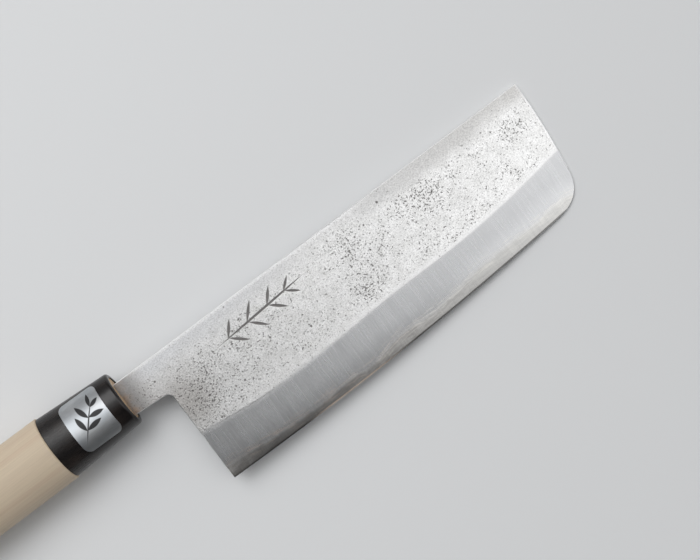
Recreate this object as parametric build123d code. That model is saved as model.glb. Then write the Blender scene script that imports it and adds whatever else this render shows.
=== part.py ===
from build123d import *
from math import sqrt
import os

os.makedirs("parts", exist_ok=True)

# A nakiri: a straight vegetable knife with a forge-welded three-layer blade and an oval wooden handle.
# All sizes are in millimetres. While it is modelled, X runs to the tip with 0 at the heel of the blade,
# Y runs to the spine with 0 on the handle's axis, and Z runs out of the right face with 0 in the middle.

# Blade seen from the side
blade_length = 170.3            # heel to the top corner of the tip
blade_height = 53.6             # spine to the heel corner
spine_above_axis = 6.0          # the spine stands a little above the handle's axis
edge_radius = 1450.0            # the edge is one long shallow arc
edge_low_from_heel = 40.0       # where that arc reaches lowest
front_radius = 220.0            # the front is a slightly rounded line, upright at the top corner
corner_along = 18.0             # the lower front corner is rounded over this much of the edge
corner_up = 10.0                # and over this much of the front

# Blade thickness
spine_thickness_heel = 2.6
spine_thickness_tip = 1.6
bevel_line_thickness_heel = 2.2
core_thickness_heel = 0.5
core_thickness_tip = 0.36
rim_chamfer = 0.3               # eased corners round the flats
taper_behind_heel = 7.0         # the blade thins from here to the tip, and the neck keeps its thickness

# Ground bevel on each side
bevel_height = 18.0
bevel_overrun = 3.0             # how far the grinding cut runs past the steel
micro_bevel_height = 0.6
micro_bevel_thickness = 0.24
edge_land = 0.04                # the width left at the very edge

# Neck and tang
neck_length = 14.4              # heel line to the front of the ferrule
neck_height_ferrule = 13.7
neck_height_heel = 14.6
neck_corner_radius = 2.2
neck_in_ferrule = 3.0           # the neck keeps its slant this far inside
tang_length = 85.0              # from the front of the ferrule
tang_end_height = 6.0
tang_end_thickness = 1.8
tang_gap = 0.12                 # room all round the tang in its burnt hole

# Handle
handle_length = 127.0           # front of the ferrule to the butt
handle_height = 26.4
handle_thickness = 20.0
butt_radius = 1.8
shoulder_chamfer = 0.4          # the wood's front corner, beside the ferrule

# Ferrule
ferrule_length = 30.0
ferrule_front_height = 22.0
ferrule_front_thickness = 16.8
ferrule_rear_height = 25.4
ferrule_rear_thickness = 19.2
ferrule_wall = 2.0
ferrule_front_round = 1.1
ferrule_inner_round = 0.4
ferrule_rear_round = 0.2
spigot_gap = 0.05               # glue film between the ring and the wood
spigot_recess = 0.4             # the wood ends a little inside the ring's mouth

# Label
label_length = 15.4             # along the handle
label_width = 19.7              # across it, seen square on
label_from_front = 5.5
label_turn = 10.5               # degrees, its middle is turned towards the spine
label_corner_radius = 2.2
label_thickness = 0.12
label_gap = 0.02                # its layer of glue

# Along the blade: where the bevel is measured, and its height there
bevel_place_shares = (0.0, 0.17, 0.33, 0.5, 0.7, 0.86, 1.0)
bevel_height_shares = (1.12, 1.0, 0.98, 1.02, 0.96, 1.0, 1.08)

# Places worked out from the sizes
spine_y = spine_above_axis
heel_y = spine_y - blade_height
edge_low_y = heel_y - (edge_radius - sqrt(edge_radius**2 - edge_low_from_heel**2))
tang_start_x = -(neck_length + neck_in_ferrule)
tang_end_x = -(neck_length + tang_length)
ferrule_front_x = -neck_length
ferrule_rear_x = -(neck_length + ferrule_length)
butt_x = -(neck_length + handle_length)
blank_thickness = spine_thickness_heel


def edge_y(x):
    """Height of the edge's arc at a place along the blade, also past its ends."""
    return edge_low_y + edge_radius - sqrt(edge_radius**2 - (x - edge_low_from_heel) ** 2)


def front_x(y):
    """Place of the front's arc at a height."""
    return blade_length - front_radius + sqrt(front_radius**2 - (spine_y - y) ** 2)


def flat_z(x, y):
    """Half the blade's thickness on its flats, which thin towards the tip and the edge."""
    along = (spine_thickness_tip - spine_thickness_heel) / 2 / blade_length
    across = (spine_thickness_heel - bevel_line_thickness_heel) / 2 / (blade_height - bevel_height)
    return spine_thickness_heel / 2 + along * x + across * (y - spine_y)


def plane_through(a, b, c):
    """The plane through three points, facing away from the middle of the blade."""
    a, b, c = Vector(*a), Vector(*b), Vector(*c)
    normal = (b - a).cross(c - a)
    if normal.Z < 0:
        normal = -normal
    return Plane(origin=a, x_dir=(b - a), z_dir=normal)


def flat_plane():
    """The right flat."""
    corners = ((0, spine_y), (blade_length, spine_y), (0, heel_y))
    return plane_through(*[(x, y, flat_z(x, y)) for x, y in corners])


def neck_plane():
    """The right side of the neck, which meets the flat a little behind the heel."""
    corners = ((-taper_behind_heel, spine_y), (-taper_behind_heel, heel_y))
    upper, lower = [(x, y, flat_z(x, y)) for x, y in corners]
    return plane_through(upper, (tang_start_x, spine_y, upper[2]), lower)


def tang_plane():
    """The right side of the tang, which thins from the neck to its end."""
    start = (tang_start_x, spine_y, flat_z(-taper_behind_heel, spine_y))
    end = (tang_end_x, spine_y, tang_end_thickness / 2)
    return plane_through(start, end, (tang_start_x, heel_y, start[2]))


def core_plane():
    """The right face of the core layer, drawn out thinner towards the tip."""
    heel = (0, spine_y, core_thickness_heel / 2)
    tip = (blade_length, spine_y, core_thickness_tip / 2)
    return plane_through(heel, tip, (0, heel_y, core_thickness_heel / 2))


def tang_outline():
    """Side view of the tang, with the stretch of neck that enters the handle at its own slant."""
    mouth_x = ferrule_front_x
    low_y = spine_y - neck_height_ferrule
    rise = (neck_height_heel - neck_height_ferrule) * neck_in_ferrule / neck_length
    return Polyline(
        (mouth_x, low_y),
        (tang_start_x, low_y + rise),
        (tang_end_x, -tang_end_height / 2),
        (tang_end_x, tang_end_height / 2),
        (tang_start_x, spine_y),
        (mouth_x, spine_y),
    )


def blade_outline():
    """Side view of the blade, neck and tang as one face."""
    corner_x = blade_length - corner_along
    edge_end = Vector(corner_x, edge_y(corner_x))
    edge_way = Vector(edge_low_y + edge_radius - edge_end.Y, corner_x - edge_low_from_heel)
    front_y = edge_y(blade_length) + corner_up
    front_end = Vector(front_x(front_y), front_y)
    front_way = Vector(spine_y - front_y, front_end.X - blade_length + front_radius)
    gap = front_end - edge_end
    share = gap.cross(front_way).Z / edge_way.cross(front_way).Z
    edge = ThreePointArc((0, heel_y), (corner_x / 2, edge_y(corner_x / 2)), edge_end)
    rounded = Bezier(edge_end, edge_end + edge_way * share, front_end)
    front_mid = (front_y + spine_y) / 2
    front = ThreePointArc(front_end, (front_x(front_mid), front_mid), (blade_length, spine_y))
    spine = Line((blade_length, spine_y), (ferrule_front_x, spine_y))
    neck_low = (ferrule_front_x, spine_y - neck_height_ferrule)
    neck = Line(neck_low, (0, spine_y - neck_height_heel))
    heel = Line((0, spine_y - neck_height_heel), (0, heel_y))
    face = make_face([edge, rounded, front, spine, *tang_outline().edges(), neck, heel])
    inner = face.vertices().sort_by_distance((0, spine_y - neck_height_heel))[0]
    return fillet(inner, neck_corner_radius)


def bevel_section(x, height):
    """Section of what the grinder takes off the right side, down to the edge."""
    edge = edge_y(x)
    knee = (edge + micro_bevel_height, micro_bevel_thickness / 2)
    line = (edge + height, flat_z(x, edge + height))
    steep = (knee[1] - edge_land / 2) / micro_bevel_height
    slope = (line[1] - knee[1]) / (line[0] - knee[0])
    low = (edge - bevel_overrun, edge_land / 2 - steep * bevel_overrun)
    high = (line[0] + bevel_overrun, line[1] + slope * bevel_overrun)
    far = blank_thickness + bevel_overrun
    points = [low, knee, high, (high[0], far), (low[0], far)]
    return Wire.make_polygon([Vector(x, y, z) for y, z in points], close=True)


def bevel_cut():
    """What the grinder takes off the right side, over the whole length of the edge."""
    places = [share * blade_length for share in bevel_place_shares]
    heights = [share * bevel_height for share in bevel_height_shares]
    places = [-bevel_overrun, *places, blade_length + bevel_overrun]
    heights = [heights[0], *heights, heights[-1]]
    return Solid.make_loft([bevel_section(x, height) for x, height in zip(places, heights)])


def spine_rim_plane():
    """The slanting cut that eases the spine's right corner from the tip to the tang."""
    inner = [(x, spine_y - rim_chamfer, flat_z(x, spine_y - rim_chamfer)) for x in (0, blade_length)]
    return plane_through(*inner, (0, spine_y, flat_z(0, spine_y) - rim_chamfer))


def right_half():
    """The right half of the blade, from its middle plane outwards."""
    half = extrude(blade_outline(), blank_thickness)
    half = split(half, bisect_by=flat_plane(), keep=Keep.BOTTOM)
    flat = half.faces().filter_by(lambda face: face.normal_at().Z > 0).sort_by(SortBy.AREA)[-1]
    rim = [edge for edge in flat.edges() if edge.center().X > tang_start_x]
    half = chamfer([edge for edge in rim if edge.center().Y < spine_y - rim_chamfer], rim_chamfer)
    for side in (neck_plane(), tang_plane(), spine_rim_plane()):
        half = split(half, bisect_by=side, keep=Keep.BOTTOM)
    return half - bevel_cut()


def core_steel():
    """The hard core layer, from the edge to the spine and on through the tang."""
    side = split(right_half(), bisect_by=core_plane(), keep=Keep.BOTTOM)
    return side + mirror(side, about=Plane.XY)


def cladding_right():
    """The soft iron layer on the right face."""
    return split(right_half(), bisect_by=core_plane(), keep=Keep.TOP)


def cladding_left():
    """The soft iron layer on the left face."""
    return mirror(cladding_right(), about=Plane.XY)


def oval(x, height, thickness):
    """An oval section of the handle."""
    plane = Plane(origin=(x, 0, 0), x_dir=(0, 1, 0), z_dir=(1, 0, 0))
    return plane * Ellipse(height / 2, thickness / 2)


def ferrule_cone(grow):
    """The ferrule's outer shape, grown or shrunk on all sides."""
    front = oval(ferrule_front_x, ferrule_front_height + 2 * grow, ferrule_front_thickness + 2 * grow)
    rear = oval(ferrule_rear_x, ferrule_rear_height + 2 * grow, ferrule_rear_thickness + 2 * grow)
    return loft([front, rear], ruled=True)


def tang_hole():
    """The hole burnt into the wood: the tang's shape, grown by its gap."""
    outline = offset(make_face([*tang_outline().edges(), tang_mouth()]), tang_gap, kind=Kind.INTERSECTION)
    half = extrude(outline, blank_thickness)
    for side in (neck_plane(), tang_plane()):
        half = split(half, bisect_by=side.offset(tang_gap), keep=Keep.BOTTOM)
    return half + mirror(half, about=Plane.XY)


def tang_mouth():
    """The line that closes the tang's outline at the front of the ferrule."""
    return Line((ferrule_front_x, spine_y), (ferrule_front_x, spine_y - neck_height_ferrule))


def handle():
    """The wooden handle with its turned-down spigot and the tang's hole."""
    body = extrude(oval(ferrule_rear_x, handle_height, handle_thickness), butt_x - ferrule_rear_x)
    body = fillet(body.edges().group_by(Axis.X)[0], butt_radius)
    body = chamfer(body.edges().group_by(Axis.X)[-1], shoulder_chamfer)
    spigot = ferrule_cone(-(ferrule_wall + spigot_gap))
    recess = Plane(origin=(ferrule_front_x - spigot_recess, 0, 0), z_dir=(1, 0, 0))
    spigot = split(spigot, bisect_by=recess, keep=Keep.BOTTOM)
    return body + spigot - tang_hole()


def ferrule():
    """The tapered ring over the spigot, with rounded rims."""
    ring = ferrule_cone(0) - ferrule_cone(-ferrule_wall)
    mouth = ring.faces().sort_by(Axis.X)[-1].edges().sort_by(SortBy.LENGTH)
    ring = fillet(mouth[-1], ferrule_front_round)
    mouth = ring.faces().sort_by(Axis.X)[-1].edges().sort_by(SortBy.LENGTH)
    ring = fillet(mouth[0], ferrule_inner_round)
    back = ring.faces().sort_by(Axis.X)[0].edges().sort_by(SortBy.LENGTH)
    return fillet(back[-1], ferrule_rear_round)


def label():
    """The foil sticker, wrapped over the right side of the ferrule."""
    skin = ferrule_cone(label_gap + label_thickness) - ferrule_cone(label_gap)
    middle = Pos(ferrule_front_x - label_from_front - label_length / 2, 0, 0)
    sheet = middle * Rot(X=-label_turn) * RectangleRounded(label_length, label_width, label_corner_radius)
    return skin & extrude(sheet, handle_thickness)


def main():
    makers = (core_steel, cladding_right, cladding_left, handle, ferrule, label)
    pieces = {maker.__name__: maker() for maker in makers}
    box = Compound(list(pieces.values())).bounding_box()
    middle = box.center()
    stand = Pos(-middle.X, -middle.Y, -box.min.Z)
    for name, piece in pieces.items():
        export_step(stand * piece, f"parts/{name}.step")
    print("heel, handle axis and middle plane lie at", -middle.X, -middle.Y, -box.min.Z)


main()
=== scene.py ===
from math import radians

import bmesh
import bpy
from mathutils import Matrix, Vector


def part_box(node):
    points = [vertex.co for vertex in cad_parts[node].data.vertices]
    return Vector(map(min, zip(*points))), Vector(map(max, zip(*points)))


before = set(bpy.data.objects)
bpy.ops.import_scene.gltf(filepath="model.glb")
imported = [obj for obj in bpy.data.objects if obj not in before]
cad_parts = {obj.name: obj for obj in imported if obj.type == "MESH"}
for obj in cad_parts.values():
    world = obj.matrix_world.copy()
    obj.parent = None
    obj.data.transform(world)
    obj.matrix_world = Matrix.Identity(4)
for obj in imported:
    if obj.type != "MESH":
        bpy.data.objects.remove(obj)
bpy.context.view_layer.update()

# Lengths inside the materials are in millimetres, and the scene's own are in metres.
mm = 0.001
blade_length = 170.3
blade_height = 53.6
front_radius = 220.0
edge_radius = 1450.0
edge_low_from_heel = 40.0

# How the knife lies on the table, and where the camera hangs above it
turn_on_table = radians(37.0)
nose_down = radians(3.0)
roll_over = radians(0.8)
heel_on_table = Vector((-42.08, -72.13, 9.235)) * mm
camera_height = 411.0 * mm
camera_reach = 100.0
lens_length = 56.57

# The table top
floor_half_width = 12.0
floor_colour = (0.73, 0.74, 0.75, 1)
floor_roughness = 0.9

# The room: a bright soft panel over the head of the picture with a skylight in it, dark over its foot,
# and pale along the horizon. In a pair, the change starts at the first number and ends at the second.
dark_side = 0.07
panel_strength = 1.28
panel_near_side = (-0.285, 0.17)
panel_far_side = (0.85, 0.4)
panel_far_level = 0.18
panel_rise = (0.45, 0.85)
panel_low_level = 0.45
skylight_way = Vector((-0.28, 0.37, 0.88)).normalized()
skylight_reach = (0.925, 0.99)
skylight_strength = 1.4
pale_horizon = 0.52
bright_horizon = 0.95
horizon_sides = (-0.1, 0.9)
horizon_rise = (0.06, 0.14)
horizon_top = 0.32
backdrop = 0.465
window_way = Vector((-0.50, 0.32, 0.80))
window_distance = 0.8
window_size = (0.62, 0.38)
window_energy = 2.0

# Lines along the blade, from 0 at the heel to 1 at the tip, each with the top of its chart: the bevel's
# upper line and the weld line by their heights above the edge, and how light the hard steel strip is
bevel_places = (0.0, 0.08, 0.15, 0.33, 0.5, 0.7, 0.86, 1.0)
bevel_heights = (20.3, 18.8, 17.7, 17.8, 18.3, 17.3, 17.8, 19.4)
bevel_top = 24.0
weld_places = (0.0, 0.04, 0.16, 0.26, 0.33, 0.37, 0.48, 0.55, 0.71, 0.8, 0.85, 0.89, 0.95)
weld_heights = (5.2, 4.9, 3.3, 3.0, 3.75, 2.6, 5.0, 4.0, 5.5, 5.1, 4.4, 4.9, 4.0)
weld_top = 8.0
strip_places = (0.0, 0.04, 0.14, 0.25, 0.35, 0.5, 0.72, 1.0)
strip_tones = (1.6, 1.0, 0.57, 0.68, 0.86, 0.95, 0.88, 0.98)
strip_top = 2.0

# The bevel: its slope from the flat, how much its upper line wobbles and is ragged, how much the weld
# line ripples, and from what height and how fast its face rounds off to the edge
bevel_slope = 0.058
line_wobble = 1.6
line_raggedness = 3.0
weld_ripple = 1.2
convex_height = 4.2
convex_depth = 0.0036

# How wide the weld's seam is on each side of its line, and where the tan glint painted on the honed edge
# starts and ends along the blade and fades above the edge
seam_width = 0.9
painted_glint_start = (0.18, 0.27)
painted_glint_end = (0.5, 0.36)
painted_glint_height = (0.65, 0.4)

# How far from the bevel's line the flats are pale, how far from the front and the spine a highlight is
# painted onto the flats, and where along the blade the spine's painted highlight ends
fresh_reach = (3.0, 0.2)
paler_reach = (14.0, 2.0)
front_highlight_reach = (1.1, 0.3)
spine_highlight_reach = (1.8, 0.4)
spine_highlight_end = (0.62, 0.5)

# Pits in the forged skin: the pattern's cell, the pit's size, the share of cells that crowding adds,
# the share without it, and the darkness
pit_kinds = (
    (0.7, 0.17, 0.6, 0.3, 0.5),
    (1.05, 0.24, 0.55, 0.05, 0.85),
    (1.8, 0.3, 0.3, 0.012, 1.0),
)
pit_rim = (0.1, -0.12)
sway_scale = 1.3
sway_width = 0.9

# Crowds of pits on the flats: centre, reach and weight
pit_crowds = (
    ((8, 31, 1), 15, 1.05),
    ((22, 33, 1), 18, 0.5),
    ((38, 33, 1), 12, 0.4),
    ((58, 24, 1), 14, 0.3),
    ((84, 40, 1), 17, 0.5),
    ((80, 27, 1), 9, 0.6),
    ((114, 44, 1), 14, 0.8),
    ((128, 42, 1), 10, 0.4),
    ((158, 42, 1), 7, 1.1),
    ((-7, 45, 1), 10, 0.5),
)

# The browner patch at the heel, and where the neck turns dull, dark and rusty towards the ferrule
brown_patch = (3, 33, 1)
brown_reach = (17.0, 2.0)
neck_dull = (0.0, -13.0)
neck_dark = (-3.0, -12.0)
neck_rusty = (-10.5, -14.0)

# Sprigs of slender leaves: foot along and across, turn in degrees, length and width
leaf_softness = 0.12
chisel_place = (44, 43.5, 0)
chiselled_leaves = (
    (-20, -1.4, 4, 41, 0.9), (-15.5, -1.2, 52, 7.5, 1.1), (-15, -1.2, -40, 7.5, 1.1),
    (-6.5, -0.5, 48, 8.5, 1.1), (-6, -0.5, -44, 8, 1.1), (3, 0.1, 50, 7.5, 1.1),
    (3.5, 0.1, -40, 7.5, 1.1), (11, 0.7, 42, 6, 1.0), (11.5, 0.7, -36, 6, 1.0),
)
inked_leaves = (
    (-5.5, -6.5, 50, 15.5, 0.5), (-2.6, -2.9, 100, 6.5, 1.9), (-2.4, -2.8, 8, 6.5, 1.9),
    (0.4, 0.7, 112, 6.5, 1.9), (0.6, 0.8, -6, 6.0, 1.9), (2.9, 3.7, 78, 4.6, 1.5), (2.9, 3.5, 20, 4.2, 1.5),
)

# Patterns: how many blobs a millimetre has, how detailed and rough they are, and how they are drawn out
weld_ripples = {"scale": 0.35, "detail": 3.0}
line_wobbles = {"scale": 0.8, "detail": 3.0}
line_rags = {"scale": 2.4, "detail": 3.0, "roughness": 0.7}
scratch_stretch = 0.035
fine_scratches = {"scale": 3.0, "detail": 3.0, "roughness": 0.65}
broad_scratches = {"scale": 0.7}
bevel_clouds = {"scale": 0.09, "detail": 3.0, "stretch": (1.0, 2.2, 6.0)}
steel_patches = {"scale": 0.5, "detail": 3.0, "roughness": 0.6, "stretch": (0.35, 1.5, 6.0)}
streaks_along = 12.0
weld_streaks = {"scale": 1.7, "detail": 1.0}
skin_stretch = (1.0, 1.0, 9.0)
skin_crowding = {"scale": 0.075, "detail": 3.0, "roughness": 0.6}
skin_grain = {"scale": 2.0, "detail": 3.0, "roughness": 0.72}
skin_lumps = {"scale": 1.4, "roughness": 0.6}
band_widths = {"scale": 0.05}
flat_mottle = {"scale": 0.2, "detail": 4.0, "roughness": 0.6, "stretch": (1.0, 1.0, 5.0)}
core_spots = {"scale": 0.6, "detail": 3.0}
ring_drifts = {"scale": 0.05, "stretch": (0.12, 1.0, 1.0)}
ring_bands = {"scale": 0.36, "detail": 3.0, "roughness": 0.6}
wood_fibres = {"scale": 2.2, "detail": 4.0, "roughness": 0.65, "stretch": (0.03, 1.0, 1.0)}
wood_shades = {"scale": 0.13, "stretch": (0.08, 1.0, 1.0)}
horn_clouds = {"scale": 0.22, "detail": 3.0, "roughness": 0.6, "stretch": (0.35, 1.0, 1.0)}
horn_rubbing = {"scale": 1.6, "detail": 3.0, "roughness": 0.7, "stretch": (0.25, 1.0, 1.0)}
foil_brushing = {"scale": 5.0, "detail": 3.0, "roughness": 0.7, "stretch": (0.06, 1.0, 1.0)}
foil_sheen = {"scale": 0.12, "stretch": (1.0, 1.0, 0.2), "turn": (0, 0, 0.7)}

# Roughness, in pairs from the low to the high parts of a pattern, and what pits and the band add to it
bevel_roughness = (0.31, 0.25)
flat_roughness = 0.36
pit_roughness = 0.25
band_roughness = 0.12
wood_roughness = (0.62, 0.5)
horn_roughness = (0.15, 0.24)
foil_roughness = (0.35, 0.44)
ink_roughness = 0.45

# Heights and depths of the relief, which the scratches have one of for the heel and one for the tip
scratch_depths = (0.003, 0.0012)
pit_depth = 0.05
grain_height = 0.035
fibre_height = 0.03
rubbing_height = 0.004
brushing_height = 0.004

# Colours of the bevel, of the flats and of the rims. A pair's share comes from a pattern or a place.
ground_iron = ((0.58, 0.587, 0.60, 1), (0.62, 0.626, 0.636, 1))
steel_at_heel = ((0.54, 0.53, 0.515, 1), (0.41, 0.395, 0.38, 1))
steel_at_tip = ((0.74, 0.735, 0.715, 1), (0.685, 0.68, 0.668, 1))
weld_seam = (0.76, 0.76, 0.76, 1)
streak_colours = ((0.72, 0.62, 0.55, 1), (0.78, 0.77, 0.74, 1))
# A tan glint painted on the honed edge
painted_glint_colour = (0.62, 0.50, 0.40, 1)
forged_iron = ((0.66, 0.66, 0.655, 1), (0.74, 0.74, 0.74, 1))
banded_iron = ((0.68, 0.69, 0.71, 1), (0.66, 0.65, 0.635, 1))
# Painted highlights on the flats: along the spine, and near the front together with the ground band's pale
# iron
spine_highlight_colour = (0.88, 0.88, 0.89, 1)
fresh_and_highlight_iron = (0.88, 0.88, 0.885, 1)
brown_iron = (0.46, 0.445, 0.43, 1)
neck_iron = (0.44, 0.41, 0.39, 1)
rust = (0.36, 0.24, 0.16, 1)
pit_dark = (0.15, 0.14, 0.135, 1)
side_iron = (0.74, 0.74, 0.735, 1)
# A painted highlight for the side faces that look forward or up
rim_highlight_colour = (0.95, 0.95, 0.95, 1)
core_edge_on = ((0.42, 0.43, 0.45, 1), (0.58, 0.58, 0.58, 1))

# The wood: its colours, the heart of its log as counted from the handle's axis, and how the rings drift
early_wood = (0.56, 0.466, 0.348, 1)
late_wood = (0.53, 0.42, 0.312, 1)
shaded_wood = (0.53, 0.43, 0.325, 1)
end_wood = ((0.68, 0.49, 0.31, 1), (0.52, 0.37, 0.23, 1))
heart_y = -46.0
heart_z = -20.0
ring_drift = 7.0

# The ferrule's horn, and the label: its foil, how much the foil's shine leans, and its ink
dark_horn = ((0.006, 0.005, 0.005, 1), (0.020, 0.015, 0.013, 1))
foil_greys = ((0.43, 0.455, 0.48, 1), (0.53, 0.545, 0.56, 1))
foil_lean = -0.1
ink_black = (0.012, 0.012, 0.014, 1)

core_low, core_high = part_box("core_steel")
ferrule_low, ferrule_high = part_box("ferrule")
handle_low, handle_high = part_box("handle")
label_low, label_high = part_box("label")
middle_z = (core_low.z + core_high.z) / 2
heel_x = core_high.x - blade_length * mm
heel_corner = Vector((heel_x, core_high.y - blade_height * mm, middle_z))
edge_lowest = Vector((heel_x, core_low.y, middle_z))
axis_y = (handle_low.y + handle_high.y) / 2
spine_above_edge = (core_high.y - core_low.y) / mm

to_table = (
    Matrix.Rotation(turn_on_table, 3, "Z")
    @ Matrix.Rotation(nose_down, 3, "Y")
    @ Matrix.Rotation(roll_over, 3, "X")
)
from_table = to_table.transposed()


def table_point(place):
    """A point given over the table, in the knife's own frame."""
    return from_table @ (place - heel_on_table) + heel_corner


class Bench:
    """Nodes being laid out in one material, group or world."""

    def __init__(self, tree):
        self.tree = tree

    def feed(self, value, socket):
        """Joins a socket to another, or writes a plain value in it."""
        if isinstance(value, bpy.types.NodeSocket):
            self.tree.links.new(value, socket)
        else:
            socket.default_value = value

    def add(self, kind, sockets=None, **settings):
        node = self.tree.nodes.new(kind)
        for name, value in settings.items():
            setattr(node, name, value)
        for name, value in (sockets or {}).items():
            self.feed(value, node.inputs[name])
        return node

    def calc(self, operation, *values, clamp=False):
        node = self.add("ShaderNodeMath", operation=operation, use_clamp=clamp)
        for value, socket in zip(values, node.inputs):
            self.feed(value, socket)
        return node.outputs[0]

    def vector(self, operation, *values):
        node = self.add("ShaderNodeVectorMath", operation=operation)
        for value, socket in zip(values, node.inputs):
            self.feed(value, socket)
        return node

    def split(self, place):
        return self.add("ShaderNodeSeparateXYZ", {0: place}).outputs

    def join(self, **numbers):
        return self.add("ShaderNodeCombineXYZ", numbers).outputs[0]

    def stretch(self, place, size, turn=(0, 0, 0)):
        """The place scaled and turned for a pattern."""
        sockets = {"Vector": place, "Rotation": turn, "Scale": size}
        return self.add("ShaderNodeMapping", sockets).outputs[0]

    def noise(self, place, scale, detail=2.0, roughness=0.5, stretch=None, turn=(0, 0, 0)):
        """A cloudy pattern, drawn out and turned where it is given a stretch."""
        if stretch:
            place = self.stretch(place, stretch, turn)
        sockets = {"Vector": place, "Scale": scale, "Detail": detail, "Roughness": roughness}
        return self.add("ShaderNodeTexNoise", sockets).outputs[0]

    def ease(self, value, start, end, low=0.0, high=1.0):
        """Runs smoothly from low to high while the value goes from start to end."""
        sockets = {
            "Value": value, "From Min": start, "From Max": end, "To Min": low, "To Max": high,
        }
        return self.add("ShaderNodeMapRange", sockets, interpolation_type="SMOOTHSTEP").outputs[0]

    def mix(self, share, first, second):
        """A colour between two."""
        node = self.add("ShaderNodeMix", data_type="RGBA")
        self.feed(share, node.inputs[0])
        self.feed(first, node.inputs[6])
        self.feed(second, node.inputs[7])
        return node.outputs[2]

    def lerp(self, share, first, second):
        """A number between two."""
        node = self.add("ShaderNodeMix")
        self.feed(share, node.inputs[0])
        self.feed(first, node.inputs[2])
        self.feed(second, node.inputs[3])
        return node.outputs[0]

    def scale_colour(self, colour, factor):
        node = self.add("ShaderNodeVectorMath", operation="SCALE")
        self.feed(colour, node.inputs[0])
        self.feed(factor, node.inputs["Scale"])
        return node.outputs[0]

    def curve(self, value, places, heights, top):
        """A smooth line through points, with heights from 0 to top."""
        node = self.add("ShaderNodeFloatCurve", {"Value": value})
        line = node.mapping.curves[0]
        while len(line.points) < len(places):
            line.points.new(0.5, 0.5)
        for point, place, height in zip(line.points, places, heights):
            point.location = (place, height / top)
        node.mapping.update()
        return self.calc("MULTIPLY", node.outputs[0], top)

    def relief(self, height):
        """A surface raised and sunk by a height in millimetres."""
        return self.add("ShaderNodeBump", {"Height": height, "Distance": mm}).outputs[0]

    def group(self, tree, **sockets):
        node = self.add("ShaderNodeGroup", node_tree=tree)
        for name, value in sockets.items():
            self.feed(value, node.inputs[name])
        return node.outputs


def new_group(name, takes, gives):
    """An empty node group with its sockets, its bench, what goes in and what comes out."""
    tree = bpy.data.node_groups.new(name, "ShaderNodeTree")
    for label, kind in takes.items():
        tree.interface.new_socket(label, in_out="INPUT", socket_type="NodeSocket" + kind)
    for label, kind in gives.items():
        tree.interface.new_socket(label, in_out="OUTPUT", socket_type="NodeSocket" + kind)
    inside = tree.nodes.new("NodeGroupInput").outputs
    outside = tree.nodes.new("NodeGroupOutput").inputs
    return tree, Bench(tree), inside, outside


def new_material(name):
    """A material, its bench and the sockets of its plain shader."""
    material = bpy.data.materials.new(name)
    material.use_nodes = True
    skin = material.node_tree.nodes["Principled BSDF"].inputs
    return material, Bench(material.node_tree), skin


def object_place(bench, origin):
    """The place on the object in millimetres, counted from a point."""
    place = bench.add("ShaderNodeTexCoord").outputs["Object"]
    place = bench.vector("SUBTRACT", place, origin).outputs[0]
    return bench.scale_colour(place, 1 / mm)


def blade_places():
    """Where a place is: along the blade, above its edge and bevel line, under the weld, off the front."""
    takes = {"Place": "Vector"}
    gives = {
        "Along": "Float", "Height": "Float", "Above line": "Float",
        "Under weld": "Float", "From front": "Float",
    }
    tree, bench, inside, outside = new_group("blade places", takes, gives)
    x, y, _ = bench.split(inside["Place"])
    from_low = bench.calc("SUBTRACT", x, edge_low_from_heel)
    rise = bench.calc("DIVIDE", bench.calc("MULTIPLY", from_low, from_low), 2 * edge_radius)
    height = bench.calc("SUBTRACT", y, rise)
    along = bench.calc("DIVIDE", x, blade_length, clamp=True)
    line = bench.curve(along, bevel_places, bevel_heights, bevel_top)
    weld = bench.curve(along, weld_places, weld_heights, weld_top)
    ripple = bench.noise(inside["Place"], **weld_ripples)
    weld = bench.calc("MULTIPLY_ADD", ripple, weld_ripple, weld)
    weld = bench.calc("SUBTRACT", weld, weld_ripple / 2)
    hub = Vector((blade_length - front_radius, spine_above_edge, 0))
    spoke = bench.vector("SUBTRACT", inside["Place"], hub).outputs[0]
    spoke = bench.vector("MULTIPLY", spoke, Vector((1, 1, 0))).outputs[0]
    reach = bench.vector("LENGTH", spoke).outputs["Value"]
    bench.feed(along, outside["Along"])
    bench.feed(height, outside["Height"])
    bench.feed(bench.calc("SUBTRACT", height, line), outside["Above line"])
    bench.feed(bench.calc("SUBTRACT", weld, height), outside["Under weld"])
    bench.feed(bench.calc("SUBTRACT", front_radius, reach), outside["From front"])
    return tree


def grinding_marks():
    """Fine parallel scratches that run straight down to the edge, uneven from place to place."""
    tree, bench, inside, outside = new_group("grinding marks", {"Place": "Vector"}, {"Marks": "Float"})
    x, y, z = bench.split(inside["Place"])
    place = bench.join(X=x, Y=bench.calc("MULTIPLY", y, scratch_stretch), Z=z)
    fine = bench.noise(place, **fine_scratches)
    broad = bench.noise(place, **broad_scratches)
    bench.feed(bench.lerp(0.35, fine, broad), outside["Marks"])
    return tree


def scattered_pits(bench, place, cell, size, share):
    """Pits of about one size: one in each cell of the pattern, where its lot is under the share."""
    cells = bench.add("ShaderNodeTexVoronoi", {"Vector": place, "Scale": 1 / cell}).outputs
    lot = bench.split(cells["Color"])
    radius = bench.calc("MULTIPLY_ADD", lot[1], size, size / 2)
    pit = bench.calc("SUBTRACT", bench.calc("MULTIPLY", cells["Distance"], cell), radius)
    chosen = bench.calc("LESS_THAN", lot[0], share)
    return bench.calc("MULTIPLY", chosen, bench.ease(pit, *pit_rim))


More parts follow.
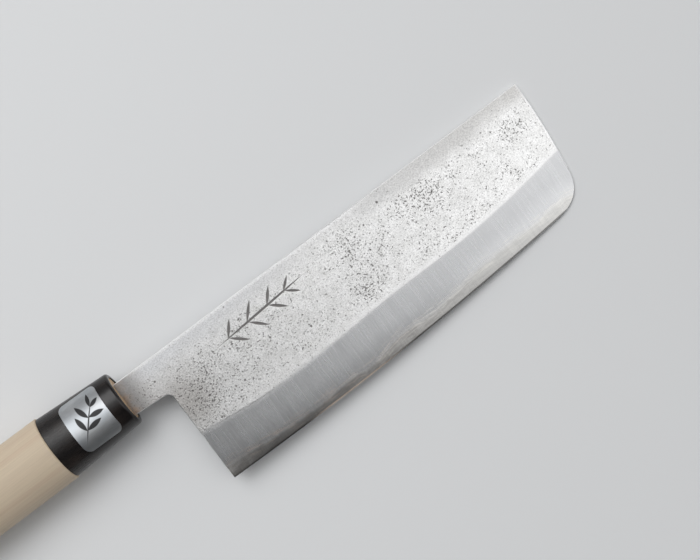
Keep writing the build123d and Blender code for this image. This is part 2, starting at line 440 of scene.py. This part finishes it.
def forged_skin():
    """The pitted skin of forged iron: dark pits in crowds, and a fine pear-skin grain."""
    takes = {"Place": "Vector", "Cleaned": "Float"}
    gives = {"Pits": "Float", "Grain": "Float"}
    tree, bench, inside, outside = new_group("forged skin", takes, gives)
    place = bench.stretch(inside["Place"], skin_stretch)
    crowd = bench.ease(bench.noise(place, **skin_crowding), 0.47, 0.72)
    for centre, radius, weight in pit_crowds:
        away = bench.vector("DISTANCE", inside["Place"], Vector(centre)).outputs["Value"]
        crowd = bench.calc("MULTIPLY_ADD", bench.ease(away, radius, 0.0), weight, crowd)
    left = bench.calc("SUBTRACT", 1.0, inside["Cleaned"])
    crowd = bench.calc("MULTIPLY", crowd, left)
    lumps = bench.noise(place, **skin_lumps)
    cut = bench.calc("MULTIPLY_ADD", crowd, 0.065, bench.calc("MULTIPLY_ADD", left, 0.1, 0.235))
    pits = bench.ease(bench.calc("SUBTRACT", lumps, cut), 0.012, -0.02, 0.0, 0.9)
    sockets = {"Vector": place, "Scale": sway_scale, "Detail": 2.0}
    sway = bench.add("ShaderNodeTexNoise", sockets).outputs["Color"]
    bent = bench.vector("ADD", place, bench.scale_colour(sway, sway_width)).outputs[0]
    for cell, size, crowded, scattered, darkness in pit_kinds:
        share = bench.calc("MULTIPLY", bench.calc("MULTIPLY_ADD", crowd, crowded, scattered), left)
        kind = bench.calc("MULTIPLY", scattered_pits(bench, bent, cell, size, share), darkness)
        pits = bench.calc("MAXIMUM", pits, kind)
    bench.feed(pits, outside["Pits"])
    bench.feed(bench.noise(place, **skin_grain), outside["Grain"])
    return tree


def side_faces():
    """Where a face looks sideways, and where that is forward or up: the tip's and the spine's rims, which
    get a painted highlight.
    """
    gives = {"Sideways": "Float", "Painted rim highlight": "Float"}
    tree, bench, _, outside = new_group("side faces", {}, gives)
    x, y, z = bench.split(bench.add("ShaderNodeNewGeometry").outputs["True Normal"])
    sideways = bench.ease(bench.calc("ABSOLUTE", z), 0.97, 0.9)
    forward = bench.calc("MAXIMUM", bench.ease(x, 0.2, 0.5), bench.ease(y, 0.2, 0.5, 0.0, 0.45))
    bench.feed(sideways, outside["Sideways"])
    bench.feed(bench.calc("MULTIPLY", sideways, forward), outside["Painted rim highlight"])
    return tree


def satin_iron(bench, place, along, height, under):
    """The ground iron: faintly cloudy, near the weld darker towards the heel and paler towards the tip."""
    iron = bench.mix(bench.noise(place, **bevel_clouds), *ground_iron)
    darker_low = bench.lerp(bench.ease(along, 0.55, 0.75), bench.ease(height, 3.0, 12.0, 0.76, 1.0), 1.0)
    iron = bench.scale_colour(iron, darker_low)
    tip_share = bench.ease(along, 0.4, 0.75, 0.0, 0.14)
    near_weld = bench.calc("MULTIPLY_ADD", bench.ease(under, -8.0, -1.0), tip_share, 1.0)
    return bench.scale_colour(iron, near_weld)


def steel_strip(bench, place, along):
    """The hard steel along the edge: dark and patchy at the heel, pale at the tip."""
    patch = bench.noise(place, **steel_patches)
    at_heel = bench.mix(bench.ease(patch, 0.4, 0.62), *steel_at_heel)
    at_tip = bench.mix(bench.ease(patch, 0.35, 0.65), *steel_at_tip)
    steel = bench.mix(bench.ease(along, 0.3, 0.8), at_heel, at_tip)
    return bench.scale_colour(steel, bench.curve(along, strip_places, strip_tones, strip_top))


def streaks_by_weld(bench, along, under):
    """Fine pale streaks that run beside the weld line: their strength and their colour."""
    place = bench.join(X=bench.calc("MULTIPLY", along, streaks_along), Y=under)
    streaks = bench.ease(bench.noise(place, **weld_streaks), 0.53, 0.62)
    streaks = bench.calc("MULTIPLY", streaks, bench.ease(bench.calc("ABSOLUTE", under), 3.4, 1.0))
    streaks = bench.calc("MULTIPLY", streaks, bench.ease(along, 0.2, 0.7, 0.42, 0.5))
    return streaks, bench.mix(bench.ease(along, 0.2, 0.6), *streak_colours)


def bevel_finish():
    """The ground bevel: satin iron, the weld's soft line, hard steel below it, and the honed edge with a
    tan glint painted on it.
    """
    takes = {"Place": "Vector"}
    gives = {"Colour": "Color", "Roughness": "Float", "Relief": "Float", "Painted glint": "Float"}
    tree, bench, inside, outside = new_group("bevel finish", takes, gives)
    place = inside["Place"]
    places = bench.group(groups["places"], Place=place)
    marks = bench.group(groups["marks"], Place=place)["Marks"]
    under = places["Under weld"]
    along = places["Along"]
    height = places["Height"]

    weld_softness = bench.ease(along, 0.0, 0.4, 2.6, 1.5)
    steel_share = bench.ease(bench.calc("DIVIDE", under, weld_softness), -1.0, 1.0)
    iron = satin_iron(bench, place, along, height, under)
    colour = bench.mix(steel_share, iron, steel_strip(bench, place, along))
    seam = bench.calc("MULTIPLY", bench.ease(under, -seam_width, 0.0), bench.ease(under, seam_width, 0.1))
    colour = bench.mix(bench.calc("MULTIPLY", seam, 0.3), colour, weld_seam)
    streaks, streak_colour = streaks_by_weld(bench, along, under)
    colour = bench.mix(streaks, colour, streak_colour)

    # A tan glint is painted on the honed edge, ahead of the heel, fading above the edge
    painted_glint = bench.calc("MULTIPLY", bench.ease(along, *painted_glint_start), bench.ease(along, *painted_glint_end))
    painted_glint = bench.calc("MULTIPLY", bench.ease(height, *painted_glint_height), painted_glint)
    colour = bench.mix(bench.calc("MULTIPLY", painted_glint, 0.75), colour, painted_glint_colour)
    colour = bench.scale_colour(colour, bench.ease(along, 0.0, 0.15, 0.92, 1.0))
    deeper_at_heel = bench.ease(along, 0.75, 0.1, 0.4, 1.9)
    scored = bench.calc("MULTIPLY", bench.ease(marks, 0.25, 0.75, -0.1, 0.1), deeper_at_heel)
    colour = bench.scale_colour(colour, bench.calc("ADD", scored, 1.0))
    bench.feed(colour, outside["Colour"])
    bench.feed(painted_glint, outside["Painted glint"])

    rough = bench.ease(marks, 0.2, 0.8, *bevel_roughness)
    bench.feed(bench.calc("MULTIPLY_ADD", steel_share, -0.05, rough), outside["Roughness"])
    low = bench.calc("MAXIMUM", bench.calc("SUBTRACT", convex_height, height), 0.0)
    round_off = bench.calc("MULTIPLY", bench.calc("MULTIPLY", low, low), -convex_depth)
    scratch_depth = bench.ease(along, 0.3, 0.65, *scratch_depths)
    bench.feed(bench.calc("MULTIPLY_ADD", marks, scratch_depth, round_off), outside["Relief"])
    return tree


def slender_leaf():
    """A leaf pointed at both ends, from its foot on, with a soft rim."""
    takes = {
        "Place": "Vector", "Foot": "Vector", "Turn": "Float",
        "Length": "Float", "Width": "Float", "Softness": "Float",
    }
    tree, bench, inside, outside = new_group("slender leaf", takes, {"Leaf": "Float"})
    turn = bench.join(Z=inside["Turn"])
    sockets = {"Vector": inside["Place"], "Location": inside["Foot"], "Rotation": turn}
    x, y, _ = bench.split(bench.add("ShaderNodeMapping", sockets, vector_type="TEXTURE").outputs[0])
    run = bench.calc("DIVIDE", x, inside["Length"])
    belly = bench.calc("MULTIPLY", bench.calc("MULTIPLY", run, bench.calc("SUBTRACT", 1.0, run)), 2.0)
    reach = bench.calc("MULTIPLY", belly, inside["Width"])
    beyond = bench.calc("SUBTRACT", bench.calc("ABSOLUTE", y), reach)
    beyond = bench.calc("DIVIDE", beyond, inside["Softness"])
    bench.feed(bench.ease(beyond, 1.0, -1.0), outside["Leaf"])
    return tree


def sprig(bench, place, leaves):
    """A small sprig of slender leaves, each given by its foot, turn in degrees, length and width."""
    mark = 0.0
    for foot_x, foot_y, turn, length, width in leaves:
        leaf = bench.group(
            groups["leaf"], Place=place, Foot=(foot_x, foot_y, 0), Turn=radians(turn),
            Length=length, Width=width, Softness=leaf_softness,
        )
        mark = bench.calc("MAXIMUM", mark, leaf["Leaf"])
    return mark


def ground_line(bench, place, places):
    """How far a place is above the wobbling line between flat and bevel, and its share of the flat."""
    along = places["Along"]
    heel_share = bench.ease(along, 0.0, 0.7, 1.0, 0.15)
    wobble = bench.noise(place, **line_wobbles)
    wobble = bench.calc("MULTIPLY_ADD", wobble, line_wobble, -line_wobble / 2)
    above = bench.calc("MULTIPLY_ADD", wobble, heel_share, places["Above line"])
    ragged = bench.noise(place, **line_rags)
    ragged = bench.calc("MULTIPLY_ADD", ragged, line_raggedness, -line_raggedness / 2)
    crossing = bench.calc("MULTIPLY_ADD", ragged, heel_share, above)
    softness = bench.ease(along, 0.0, 0.5, 1.2, 0.45)
    return above, bench.ease(bench.calc("DIVIDE", crossing, softness), -1.0, 1.0)


def worn_shoulder(bench, along, above):
    """How deep the corner between flat and bevel is worn round."""
    reach = bench.ease(along, 0.0, 0.7, 1.5, 0.7)
    near = bench.calc("SUBTRACT", reach, bench.calc("ABSOLUTE", above))
    near = bench.calc("MAXIMUM", bench.calc("DIVIDE", near, reach), 0.0)
    depth = bench.calc("MULTIPLY", reach, bevel_slope / 4)
    return bench.calc("MULTIPLY", bench.calc("MULTIPLY", near, near), depth)


def cleaner_band(bench, place, along, from_spine):
    """The cleaner band along the spine, uneven in width and faint in the middle of the blade."""
    width = bench.calc("MULTIPLY_ADD", bench.noise(place, **band_widths), 7.0, 2.0)
    band = bench.ease(bench.calc("SUBTRACT", from_spine, width), 4.0, -4.0)
    from_middle = bench.calc("ABSOLUTE", bench.calc("SUBTRACT", along, 0.46))
    return bench.calc("MULTIPLY", band, bench.ease(from_middle, 0.04, 0.16, 0.35, 1.0))


def soft_iron():
    """The pale cladding: forged and pitted on the flat, satin on the bevel."""
    material, bench, skin = new_material("soft_iron")
    place = object_place(bench, edge_lowest)
    places = bench.group(groups["places"], Place=place)
    along = places["Along"]
    x, y, z = bench.split(place)
    from_spine = bench.calc("SUBTRACT", spine_above_edge, y)
    above, flat_share = ground_line(bench, place, places)
    fresh_and_highlight = bench.calc("MULTIPLY", bench.ease(above, *fresh_reach), bench.ease(along, 0.05, 0.6, 0.0, 0.9))
    # Near the front a highlight is painted onto the flats, pale and free of pits, joined to the ground band
    # above the bevel's line
    fresh_and_highlight = bench.calc("MAXIMUM", fresh_and_highlight, bench.ease(places["From front"], *front_highlight_reach))
    band = cleaner_band(bench, place, along, from_spine)
    cleaned = bench.calc("MAXIMUM", fresh_and_highlight, bench.calc("MULTIPLY", band, 0.9))
    forged = bench.group(groups["forged"], Place=place, Cleaned=cleaned)

    mottle = bench.noise(place, **flat_mottle)
    iron = bench.mix(bench.ease(mottle, 0.3, 0.7), *forged_iron)
    # Painted light: the flats' colour grows lighter towards the tip, standing in for the brighter
    # reflection there.
    iron = bench.scale_colour(iron, bench.ease(along, 0.0, 1.0, 1.0, 1.18))
    iron = bench.mix(bench.calc("MULTIPLY", band, 0.8), iron, bench.mix(along, *banded_iron))
    # A highlight is painted along the spine on the flats, towards the heel
    spine_highlight = bench.calc("MULTIPLY", bench.ease(from_spine, *spine_highlight_reach), bench.ease(along, *spine_highlight_end))
    iron = bench.mix(bench.calc("MULTIPLY", spine_highlight, 0.7), iron, spine_highlight_colour)
    iron = bench.scale_colour(iron, bench.ease(above, *paler_reach, 1.0, 1.08))
    iron = bench.mix(bench.calc("MULTIPLY", fresh_and_highlight, 0.75), iron, fresh_and_highlight_iron)
    away = bench.vector("DISTANCE", place, Vector(brown_patch)).outputs["Value"]
    iron = bench.mix(bench.calc("MULTIPLY", bench.ease(away, *brown_reach), 0.85), iron, brown_iron)
    grain = bench.ease(forged["Grain"], 0.3, 0.7, 0.8, 1.16)
    iron = bench.scale_colour(iron, bench.lerp(bench.calc("MULTIPLY", fresh_and_highlight, 0.6), grain, 1.0))
    iron = bench.mix(bench.ease(x, *neck_dull, 0.0, 0.5), iron, neck_iron)
    iron = bench.scale_colour(iron, bench.ease(x, *neck_dark, 1.0, 0.56))
    rusty = bench.calc("MULTIPLY", bench.ease(x, *neck_rusty), bench.ease(mottle, 0.35, 0.6))
    iron = bench.mix(bench.calc("MULTIPLY", rusty, 0.65), iron, rust)

    from_mark = bench.vector("SUBTRACT", place, Vector(chisel_place)).outputs[0]
    mark = sprig(bench, from_mark, chiselled_leaves)
    mark = bench.calc("MULTIPLY", mark, bench.ease(z, 0.2, 0.6))
    sunk = bench.calc("MAXIMUM", forged["Pits"], mark)
    iron = bench.mix(bench.calc("MULTIPLY", sunk, 0.82), iron, pit_dark)

    ground = bench.group(groups["bevel"], Place=place)
    sides = bench.group(groups["sides"])
    colour = bench.mix(flat_share, ground["Colour"], iron)
    colour = bench.mix(bench.calc("MULTIPLY", sides["Sideways"], 0.85), colour, side_iron)
    # Side faces that look forward or up, the tip's and the spine's rims, get a painted highlight
    colour = bench.mix(sides["Painted rim highlight"], colour, rim_highlight_colour)
    bench.feed(colour, skin["Base Color"])

    flat_rough = bench.calc("MULTIPLY_ADD", sunk, pit_roughness, flat_roughness)
    flat_rough = bench.calc("MULTIPLY_ADD", band, band_roughness, flat_rough)
    bench.feed(bench.lerp(flat_share, ground["Roughness"], flat_rough), skin["Roughness"])
    matt = bench.calc("MULTIPLY", bench.calc("MULTIPLY", band, flat_share), -0.55)
    # Where the rim highlight is painted, the iron is made less metallic
    metal = bench.calc("MULTIPLY_ADD", sides["Painted rim highlight"], -0.6, bench.calc("ADD", matt, 1.0))
    bench.feed(metal, skin["Metallic"])
    dents = bench.calc("MULTIPLY", sunk, -pit_depth)
    dents = bench.calc("MULTIPLY_ADD", forged["Grain"], grain_height, dents)
    surface = bench.lerp(flat_share, ground["Relief"], dents)
    surface = bench.calc("SUBTRACT", surface, worn_shoulder(bench, along, above))
    bench.feed(bench.relief(surface), skin["Normal"])
    return material


def hard_steel():
    """The hard core: seen as the strip along the edge and as a thin middle line on the spine."""
    material, bench, skin = new_material("hard_steel")
    place = object_place(bench, edge_lowest)
    ground = bench.group(groups["bevel"], Place=place)
    sideways = bench.group(groups["sides"])["Sideways"]
    edge_on = bench.mix(bench.noise(place, **core_spots), *core_edge_on)
    bench.feed(bench.mix(sideways, ground["Colour"], edge_on), skin["Base Color"])
    bench.feed(ground["Roughness"], skin["Roughness"])
    # Where the tan glint is painted, the steel is made less metallic
    bench.feed(bench.calc("MULTIPLY_ADD", ground["Painted glint"], -0.75, 1.0), skin["Metallic"])
    bench.feed(bench.relief(ground["Relief"]), skin["Normal"])
    return material


def pale_wood():
    """Pale straight-grained wood: growth rings cut lengthwise, fine pores, darker end grain."""
    material, bench, skin = new_material("pale_wood")
    place = object_place(bench, Vector((handle_low.x, axis_y, middle_z)))
    _, y, z = bench.split(place)
    drift = bench.noise(place, **ring_drifts)
    ring_y = bench.calc("MULTIPLY_ADD", drift, ring_drift, bench.calc("SUBTRACT", y, heart_y))
    ring_z = bench.calc("SUBTRACT", z, heart_z)
    squares = bench.calc("MULTIPLY", ring_z, ring_z)
    ring = bench.calc("SQRT", bench.calc("MULTIPLY_ADD", ring_y, ring_y, squares))
    bands = bench.noise(bench.join(X=ring), **ring_bands)
    fibre = bench.noise(place, **wood_fibres)
    shade = bench.noise(place, **wood_shades)
    wood = bench.mix(bench.ease(bands, 0.5, 0.64), early_wood, late_wood)
    wood = bench.mix(bench.ease(shade, 0.35, 0.7, 0.0, 0.45), wood, shaded_wood)
    wood = bench.scale_colour(wood, bench.ease(fibre, 0.25, 0.75, 0.94, 1.05))
    facing = bench.split(bench.add("ShaderNodeNewGeometry").outputs["True Normal"])
    end_grain = bench.ease(bench.calc("ABSOLUTE", facing["X"]), 0.85, 0.97)
    ends = bench.mix(bench.ease(bands, 0.4, 0.6), *end_wood)
    bench.feed(bench.mix(end_grain, wood, ends), skin["Base Color"])
    bench.feed(bench.ease(fibre, 0.2, 0.8, *wood_roughness), skin["Roughness"])
    bench.feed(bench.relief(bench.calc("MULTIPLY", fibre, fibre_height)), skin["Normal"])
    return material


def black_ferrule():
    """Polished dark horn: nearly black, faintly cloudy, with fine handling scratches."""
    material, bench, skin = new_material("black_ferrule")
    place = object_place(bench, Vector((ferrule_low.x, axis_y, middle_z)))
    cloud = bench.noise(place, **horn_clouds)
    bench.feed(bench.mix(bench.ease(cloud, 0.4, 0.75), *dark_horn), skin["Base Color"])
    rubbed = bench.noise(place, **horn_rubbing)
    handled = bench.ease(bench.split(place)["X"], 14.0, 5.0, 0.0, 0.1)
    rough = bench.calc("ADD", bench.ease(rubbed, 0.3, 0.75, *horn_roughness), handled)
    bench.feed(rough, skin["Roughness"])
    bench.feed(bench.relief(bench.calc("MULTIPLY", rubbed, rubbing_height)), skin["Normal"])
    return material


def silver_foil():
    """A brushed silver foil sticker with a small inked sprig."""
    material, bench, skin = new_material("silver_foil")
    middle = (label_low + label_high) / 2
    place = object_place(bench, Vector((middle.x, middle.y, middle_z)))
    brushed = bench.noise(place, **foil_brushing)
    sheen = bench.noise(place, **foil_sheen)
    foil = bench.mix(bench.ease(sheen, 0.3, 0.7), *foil_greys)
    foil = bench.scale_colour(foil, bench.ease(brushed, 0.2, 0.8, 0.98, 1.11))
    ink = sprig(bench, place, inked_leaves)
    bench.feed(bench.mix(ink, foil, ink_black), skin["Base Color"])
    rough = bench.ease(brushed, 0.25, 0.75, *foil_roughness)
    bench.feed(bench.lerp(ink, rough, ink_roughness), skin["Roughness"])
    bench.feed(bench.calc("SUBTRACT", 1.0, ink), skin["Metallic"])
    lean = bench.calc("MULTIPLY", bench.split(place)["Y"], foil_lean)
    bench.feed(bench.relief(bench.calc("MULTIPLY_ADD", brushed, brushing_height, lean)), skin["Normal"])
    return material


def lay_floor():
    """The table top: one wide plain sheet under the knife."""
    shape = bmesh.new()
    bmesh.ops.create_grid(shape, x_segments=1, y_segments=1, size=floor_half_width)
    lie = Matrix.Translation(table_point(Vector((0, 0, 0)))) @ from_table.to_4x4()
    bmesh.ops.transform(shape, matrix=lie, verts=shape.verts)
    mesh = bpy.data.meshes.new("floor")
    shape.to_mesh(mesh)
    shape.free()
    floor = bpy.data.objects.new("floor", mesh)
    bpy.context.scene.collection.objects.link(floor)
    material, _, skin = new_material("floor_paint")
    skin["Base Color"].default_value = floor_colour
    skin["Roughness"].default_value = floor_roughness
    mesh.materials.append(material)


def light_room():
    """A soft sky: a bright panel and a skylight above, and pale along the horizon."""
    world = bpy.data.worlds.new("room")
    bpy.context.scene.world = world
    world.use_nodes = True
    bench = Bench(world.node_tree)
    way = bench.add("ShaderNodeTexCoord").outputs["Generated"]
    sideways = bench.vector("DOT_PRODUCT", way, from_table @ Vector((1, 0, 0))).outputs["Value"]
    across = bench.vector("DOT_PRODUCT", way, from_table @ Vector((0, 1, 0))).outputs["Value"]
    upward = bench.vector("DOT_PRODUCT", way, from_table @ Vector((0, 0, 1))).outputs["Value"]
    toward = bench.vector("DOT_PRODUCT", way, from_table @ skylight_way).outputs["Value"]
    near_side = bench.ease(across, *panel_near_side)
    far_side = bench.ease(across, *panel_far_side, panel_far_level, 1.0)
    overhead = bench.ease(upward, *panel_rise, panel_low_level, 1.0)
    panel = bench.calc("MULTIPLY", bench.calc("MULTIPLY", near_side, far_side), overhead)
    sky = bench.calc("MULTIPLY_ADD", panel, panel_strength, dark_side)
    sky = bench.calc("ADD", sky, bench.ease(toward, *skylight_reach, 0.0, skylight_strength))
    horizon = bench.ease(sideways, *horizon_sides, pale_horizon, bright_horizon)
    horizon = bench.lerp(bench.ease(upward, *horizon_rise), backdrop, horizon)
    level = bench.lerp(bench.ease(upward, 0.0, horizon_top), horizon, sky)
    background = world.node_tree.nodes["Background"].inputs
    background["Color"].default_value = (1.0, 1.0, 1.0, 1)
    bench.feed(level, background["Strength"])


def hang_window():
    """A soft window lamp to the upper left, which isn't seen in reflections."""
    lamp = bpy.data.lights.new("window", "AREA")
    lamp.shape = "RECTANGLE"
    lamp.size, lamp.size_y = window_size
    lamp.energy = window_energy
    window = bpy.data.objects.new("window", lamp)
    window.visible_glossy = False
    bpy.context.scene.collection.objects.link(window)
    facing = window_way.to_track_quat("Z", "Y").to_matrix() @ Matrix.Rotation(turn_on_table, 3, "Z")
    place = table_point(window_way * window_distance)
    window.matrix_world = Matrix.Translation(place) @ (from_table @ facing).to_4x4()


def hang_camera():
    """The camera looks straight down on the table."""
    camera = bpy.data.objects.new("camera", bpy.data.cameras.new("camera"))
    bpy.context.scene.collection.objects.link(camera)
    camera.data.lens = lens_length
    camera.data.clip_end = camera_reach
    place = table_point(Vector((0, 0, camera_height)))
    camera.matrix_world = Matrix.Translation(place) @ from_table.to_4x4()
    bpy.context.scene.camera = camera


def dress(node, material):
    """Gives a CAD node its finish."""
    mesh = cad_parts[node].data
    mesh.materials.clear()
    mesh.materials.append(material)


hang_camera()
lay_floor()
light_room()
hang_window()
bpy.context.scene.view_settings.view_transform = "Standard"

groups = {"places": blade_places(), "marks": grinding_marks(), "forged": forged_skin()}
groups["sides"] = side_faces()
groups["leaf"] = slender_leaf()
groups["bevel"] = bevel_finish()

cladding = soft_iron()
dress("cladding_right", cladding)
dress("cladding_left", cladding)
dress("core_steel", hard_steel())
dress("handle", pale_wood())
dress("ferrule", black_ferrule())
dress("label", silver_foil())
